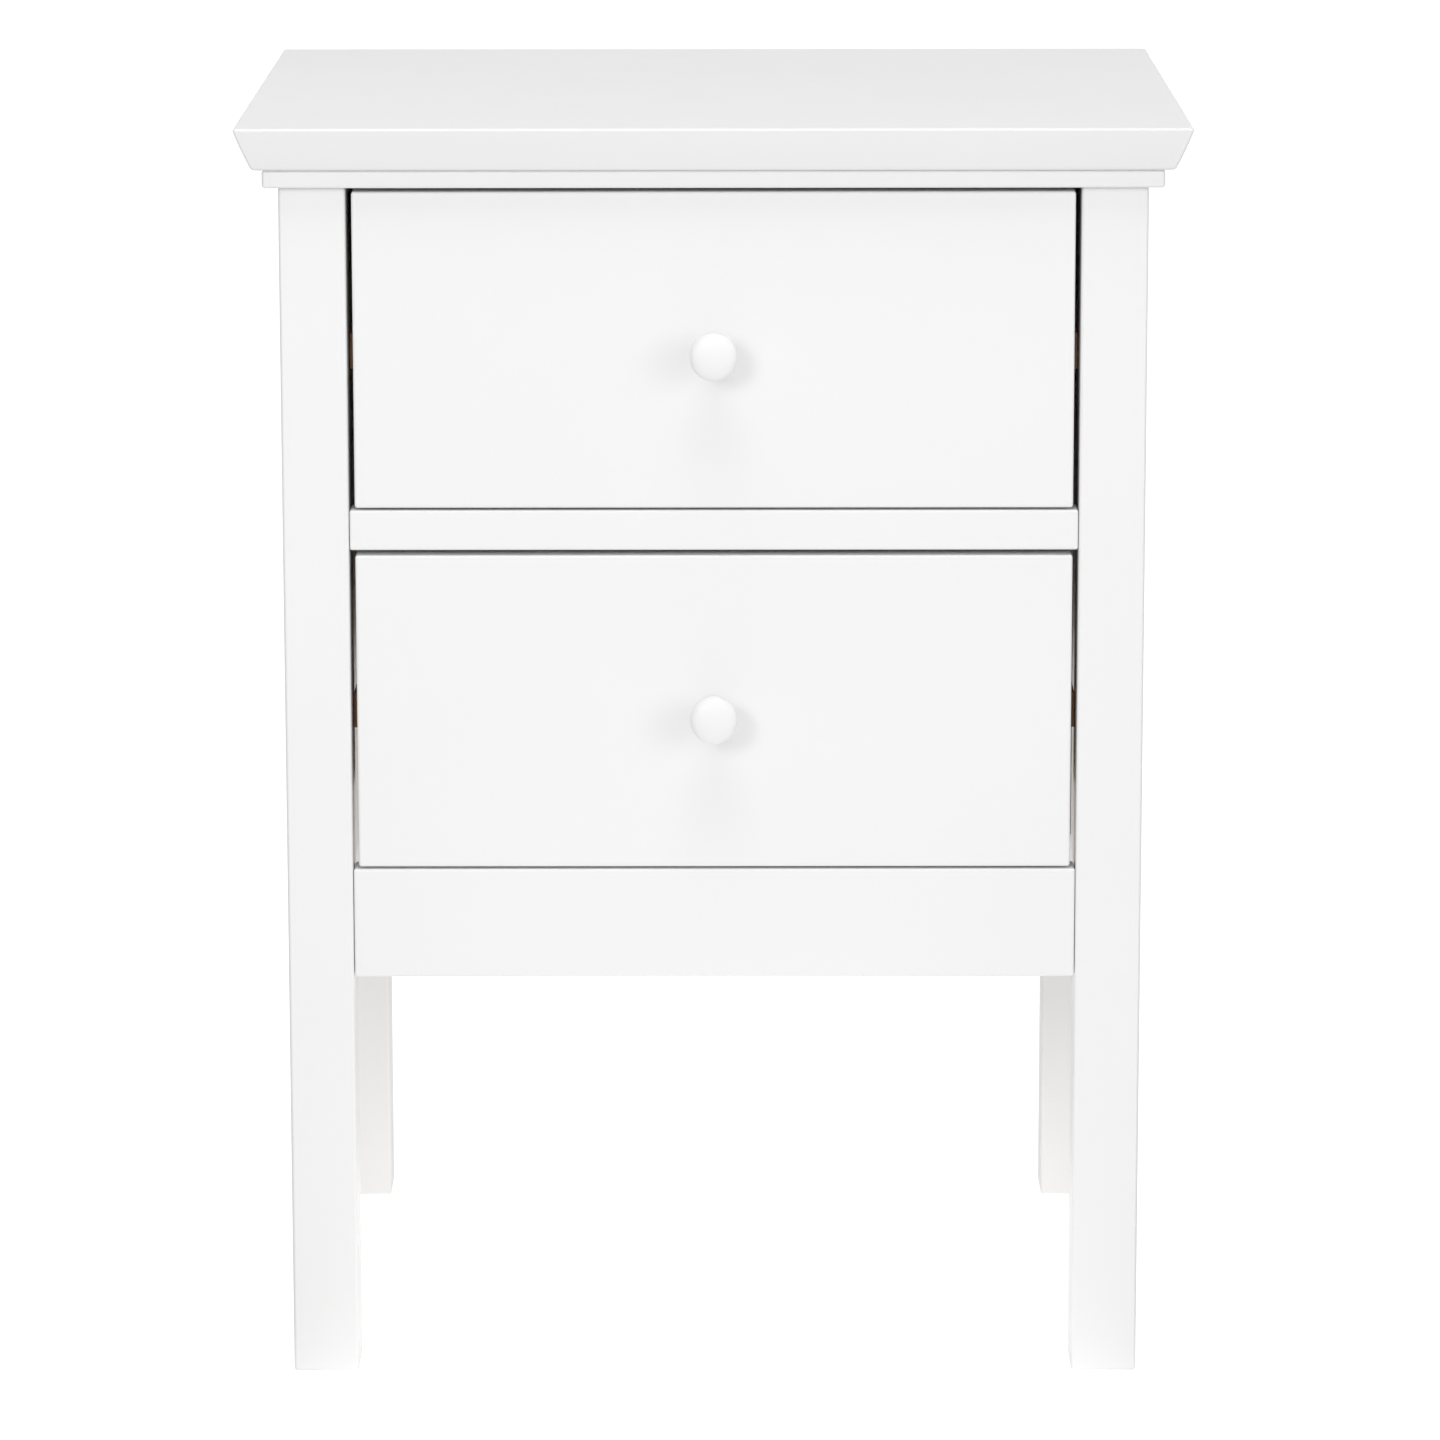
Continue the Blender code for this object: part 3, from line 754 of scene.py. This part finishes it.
def rounded_ring(left, right, front, back, radius):
    """Points round a rectangle with rounded corners, anticlockwise from above."""
    corners = (
        (right - radius, back - radius),
        (left + radius, back - radius),
        (left + radius, front + radius),
        (right - radius, front + radius),
    )
    ring = []
    for quarter, (x, y) in enumerate(corners):
        for step in range(EASING_STEPS + 1):
            turn = math.pi / 2 * (quarter + step / EASING_STEPS)
            ring.append((x + radius * math.cos(turn), y + radius * math.sin(turn)))
    return ring


def make_top():
    low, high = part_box("top_board")
    levels = top_outline(high.z - low.z)
    widest = min(inset for _, inset, _ in levels)
    shape = bmesh.new()
    rings = []
    for level, inset, back in levels:
        inset -= widest
        outline = rounded_ring(
            low.x + inset, high.x - inset, low.y + inset, high.y - back, TOP_CORNER_RADIUS
        )
        rings.append([shape.verts.new((x, y, high.z + level)) for x, y in outline])
    for upper, lower in zip(rings, rings[1:]):
        for here in range(len(upper)):
            after = (here + 1) % len(upper)
            shape.faces.new((upper[here], lower[here], lower[after], upper[after]))
    shape.faces.new(rings[0])
    shape.faces.new(reversed(rings[-1]))
    top = new_object("top_board_finished", shape)
    soften(top)
    stand_for(top, "top_board", LACQUER["x"])


def rail_dowels(rail, side):
    return [f"{rail}_dowel_{side}_{number}" for number in range(1, RAIL_DOWELS[rail] + 1)]


def make_carcase():
    make_top()
    make_board("cornice_plate", POST_EASING, LACQUER["x"])
    for side in SIDES:
        make_board(f"{side}_side_panel", BOARD_EASING, LACQUER["z"])
        for end, rails in RAILS_AT.items():
            fitted = [f"{side}_side_panel"] + (["back_panel"] if end == "rear" else [])
            for rail in rails:
                fitted += rail_dowels(rail, side)
            fitted += [f"{level}_{side}_runner_screw_{end}" for level in LEVELS]
            make_board(f"{end}_{side}_leg", POST_EASING, LACQUER["z"], fitted)
    for rail in RAIL_DOWELS:
        fitted = [dowel for side in SIDES for dowel in rail_dowels(rail, side)]
        if rail == "rear_rail":
            fitted.append("back_panel")
        make_board(rail, RAIL_EASING, LACQUER["x"], fitted)
    paint_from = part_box("back_panel")[1].y - PANEL_EASING
    make_board("back_panel", PANEL_EASING, painted_hardboard("back_panel_board", paint_from))
    for level in LEVELS:
        for side in SIDES:
            node = f"{level}_{side}_runner"
            screws = [f"{node}_screw_{end}" for end in ENDS]
            make_board(node, BOARD_EASING, runner_wood(node), screws)


def make_drawer(level):
    bottom = f"{level}_drawer_bottom"
    bottom_screw = bottom + "_screw"
    fitted = [bottom, f"{level}_knob_screw"]
    make_board(f"{level}_drawer_front", FRONT_EASING, LACQUER["x"], fitted)
    joint_screws = {
        side: [f"{level}_drawer_{side}_screw_{end}" for end in ("lower", "upper")] for side in SIDES
    }
    for side, screws in joint_screws.items():
        node = f"{level}_drawer_{side}_side"
        groove = runner_groove(level, side)
        make_board(node, BOARD_EASING, drawer_wood(node), [bottom, *screws], [groove])
    node = f"{level}_drawer_back"
    fitted = [*joint_screws["left"], *joint_screws["right"], bottom_screw]
    make_board(node, BOARD_EASING, drawer_wood(node), fitted)
    make_board(bottom, PANEL_EASING, HARDBOARD, [bottom_screw])
    make_knob(level)


def knob_outline(head, reach):
    """A domed head that narrows to a neck and widens again to the base, with a bore from behind."""
    outline = []
    for step in range(KNOB_DOME_STEPS + 1):
        turn = math.pi / 2 * step / KNOB_DOME_STEPS
        rise = (reach - KNOB_HEAD_HEIGHT) * math.cos(turn) ** DOME_FLATNESS
        outline.append((head * math.sin(turn), KNOB_HEAD_HEIGHT + rise))
    for step in range(1, KNOB_UNDER_STEPS + 1):
        share = step / KNOB_UNDER_STEPS
        swell = (1 + math.cos(math.pi * share)) / 2
        radius = KNOB_NECK_RADIUS + (head - KNOB_NECK_RADIUS) * swell
        outline.append((radius, KNOB_HEAD_HEIGHT + (KNOB_NECK_HEIGHT - KNOB_HEAD_HEIGHT) * share))
    for step in range(1, KNOB_BASE_STEPS + 1):
        share = step / KNOB_BASE_STEPS
        radius = KNOB_NECK_RADIUS + (KNOB_BASE_RADIUS - KNOB_NECK_RADIUS) * share**2
        outline.append((radius, KNOB_NECK_HEIGHT * (1 - share) + GAP * share))
    bore_radius = KNOB_SCREW_RADIUS + PLAY
    return outline + [(bore_radius, GAP), (bore_radius, KNOB_BORE_DEPTH), (0, KNOB_BORE_DEPTH)]


def make_knob(level):
    node = f"{level}_knob"
    size, middle = size_and_middle(node)
    knob = new_object(node + "_finished", lathe(knob_outline(size.x / 2, size.y + GAP), KNOB_TURNS))
    facing = Matrix.Translation((middle.x, FRONT_Y, middle.z)) @ lying_along(Vector((0, -1, 0)))
    knob.data.transform(facing)
    soften(knob)
    stand_for(knob, node, LACQUER["y"])


# ---------------------------------------------------------------- stage


def make_camera():
    data = bpy.data.cameras.new("camera")
    data.lens = CAMERA_LENS
    data.sensor_width = SENSOR
    data.clip_start = CLIP_START
    data.clip_end = 2 * FLOOR_SIZE
    camera = put_in_scene("camera", data)
    camera.rotation_mode = "XYZ"
    level = Matrix.Rotation(math.pi / 2, 4, "X")
    pan = Matrix.Rotation(CAMERA_PAN, 4, "Z")
    tilt = Matrix.Rotation(-CAMERA_TILT, 4, "X")
    roll = Matrix.Rotation(CAMERA_ROLL, 4, "Z")
    place = Matrix.Translation((CAMERA_ACROSS, FRONT_Y - CAMERA_DISTANCE, CAMERA_HEIGHT))
    camera.matrix_world = place @ pan @ tilt @ level @ roll
    bpy.context.scene.camera = camera


def floor_material():
    """Pale and dull. It glows as light from below, and the camera sees one even glow instead."""
    g = Graph(bpy.data.materials.new("floor"))
    g.set(g.shader, "Base Color", (FLOOR_TONE, FLOOR_TONE, FLOOR_TONE, 1.0))
    g.set(g.shader, "Roughness", FLOOR_ROUGHNESS)
    g.set(g.shader, "Specular IOR Level", 0.0)
    g.set(g.shader, "Emission Color", (1.0, 1.0, 1.0, 1.0))
    centre_distance = g.add("VectorMath", Vector=g.place)
    centre_distance.operation = "LENGTH"
    far = g.math("DIVIDE", centre_distance.outputs["Value"], UNDER_REACH)
    under = g.ramp(far, (UNDER_FADE_START, 1.0), (1.0, 0.0))
    glow = g.math("MULTIPLY", g.front_and_back(FLOOR_SIDES), FLOOR_GLOW)
    glow = g.math("ADD", glow, g.math("MULTIPLY", under, UNDER_GLOW))
    seen = g.add("LightPath").outputs["Is Camera Ray"]
    lift = g.math("MULTIPLY", seen, g.math("SUBTRACT", FLOOR_SEEN, glow))
    g.set(g.shader, "Emission Strength", g.math("ADD", glow, lift))
    return g.owner


def make_floor():
    shape = bmesh.new()
    bmesh.ops.create_grid(
        shape, x_segments=FLOOR_SEGMENTS, y_segments=FLOOR_SEGMENTS, size=FLOOR_SIZE / 2
    )
    floor = new_object("floor", shape)
    floor.location.z = -FLOOR_DROP
    floor.data.materials.append(floor_material())


def make_world():
    """White to the camera. As a light it's like large soft panels in front and behind."""
    world = bpy.data.worlds.new("studio")
    bpy.context.scene.world = world
    g = Graph(world, "Generated")
    height = g.split(g.place)[2]
    share = g.front_and_back(SKY_SIDES)
    even = g.math("MULTIPLY", g.ramp(height, *SKY_EVEN), g.math("SUBTRACT", 1.0, share))
    light = g.tree.nodes["Background"]
    g.set(light, "Color", g.ramp(height, *SKY))
    g.set(light, "Strength", g.math("ADD", share, even))
    white = g.add("Background", Color=(1.0, 1.0, 1.0, 1.0))
    seen = g.add("LightPath").outputs["Is Camera Ray"]
    mixed = g.tree.nodes.new("ShaderNodeMixShader")
    for socket, value in enumerate((seen, light.outputs[0], white.outputs[0])):
        g.set(mixed, socket, value)
    g.set(g.tree.nodes["World Output"], "Surface", mixed.outputs[0])


def make_lamp(name, azimuth, elevation, distance, size, power, shines):
    """A square softbox that faces the object."""
    a, e = math.radians(azimuth), math.radians(elevation)
    towards = Vector((math.sin(a) * math.cos(e), -math.cos(a) * math.cos(e), math.sin(e)))
    data = bpy.data.lights.new(name, "AREA")
    data.shape = "SQUARE"
    data.size = size
    data.energy = power
    lamp = put_in_scene(name, data)
    lamp.location = CENTRE + towards * distance
    lamp.rotation_euler = (-towards).to_track_quat("-Z", "Y").to_euler()
    lamp.visible_glossy = shines


def make_stage():
    make_camera()
    make_floor()
    make_world()
    for name, settings in LAMPS.items():
        make_lamp(name, **settings)
    bpy.context.scene.view_settings.view_transform = "Standard"


make_stage()
LACQUER = {axis: white_lacquer(f"white_lacquer_{axis}", axis) for axis in AXES}
HARDBOARD = hardboard("hardboard")
ZINC = zinc("zinc_steel")
make_carcase()
for drawer in LEVELS:
    make_drawer(drawer)
for node in NODES:
    if "screw" in node:
        make_screw(node)
    elif "dowel" in node:
        make_dowel(node)
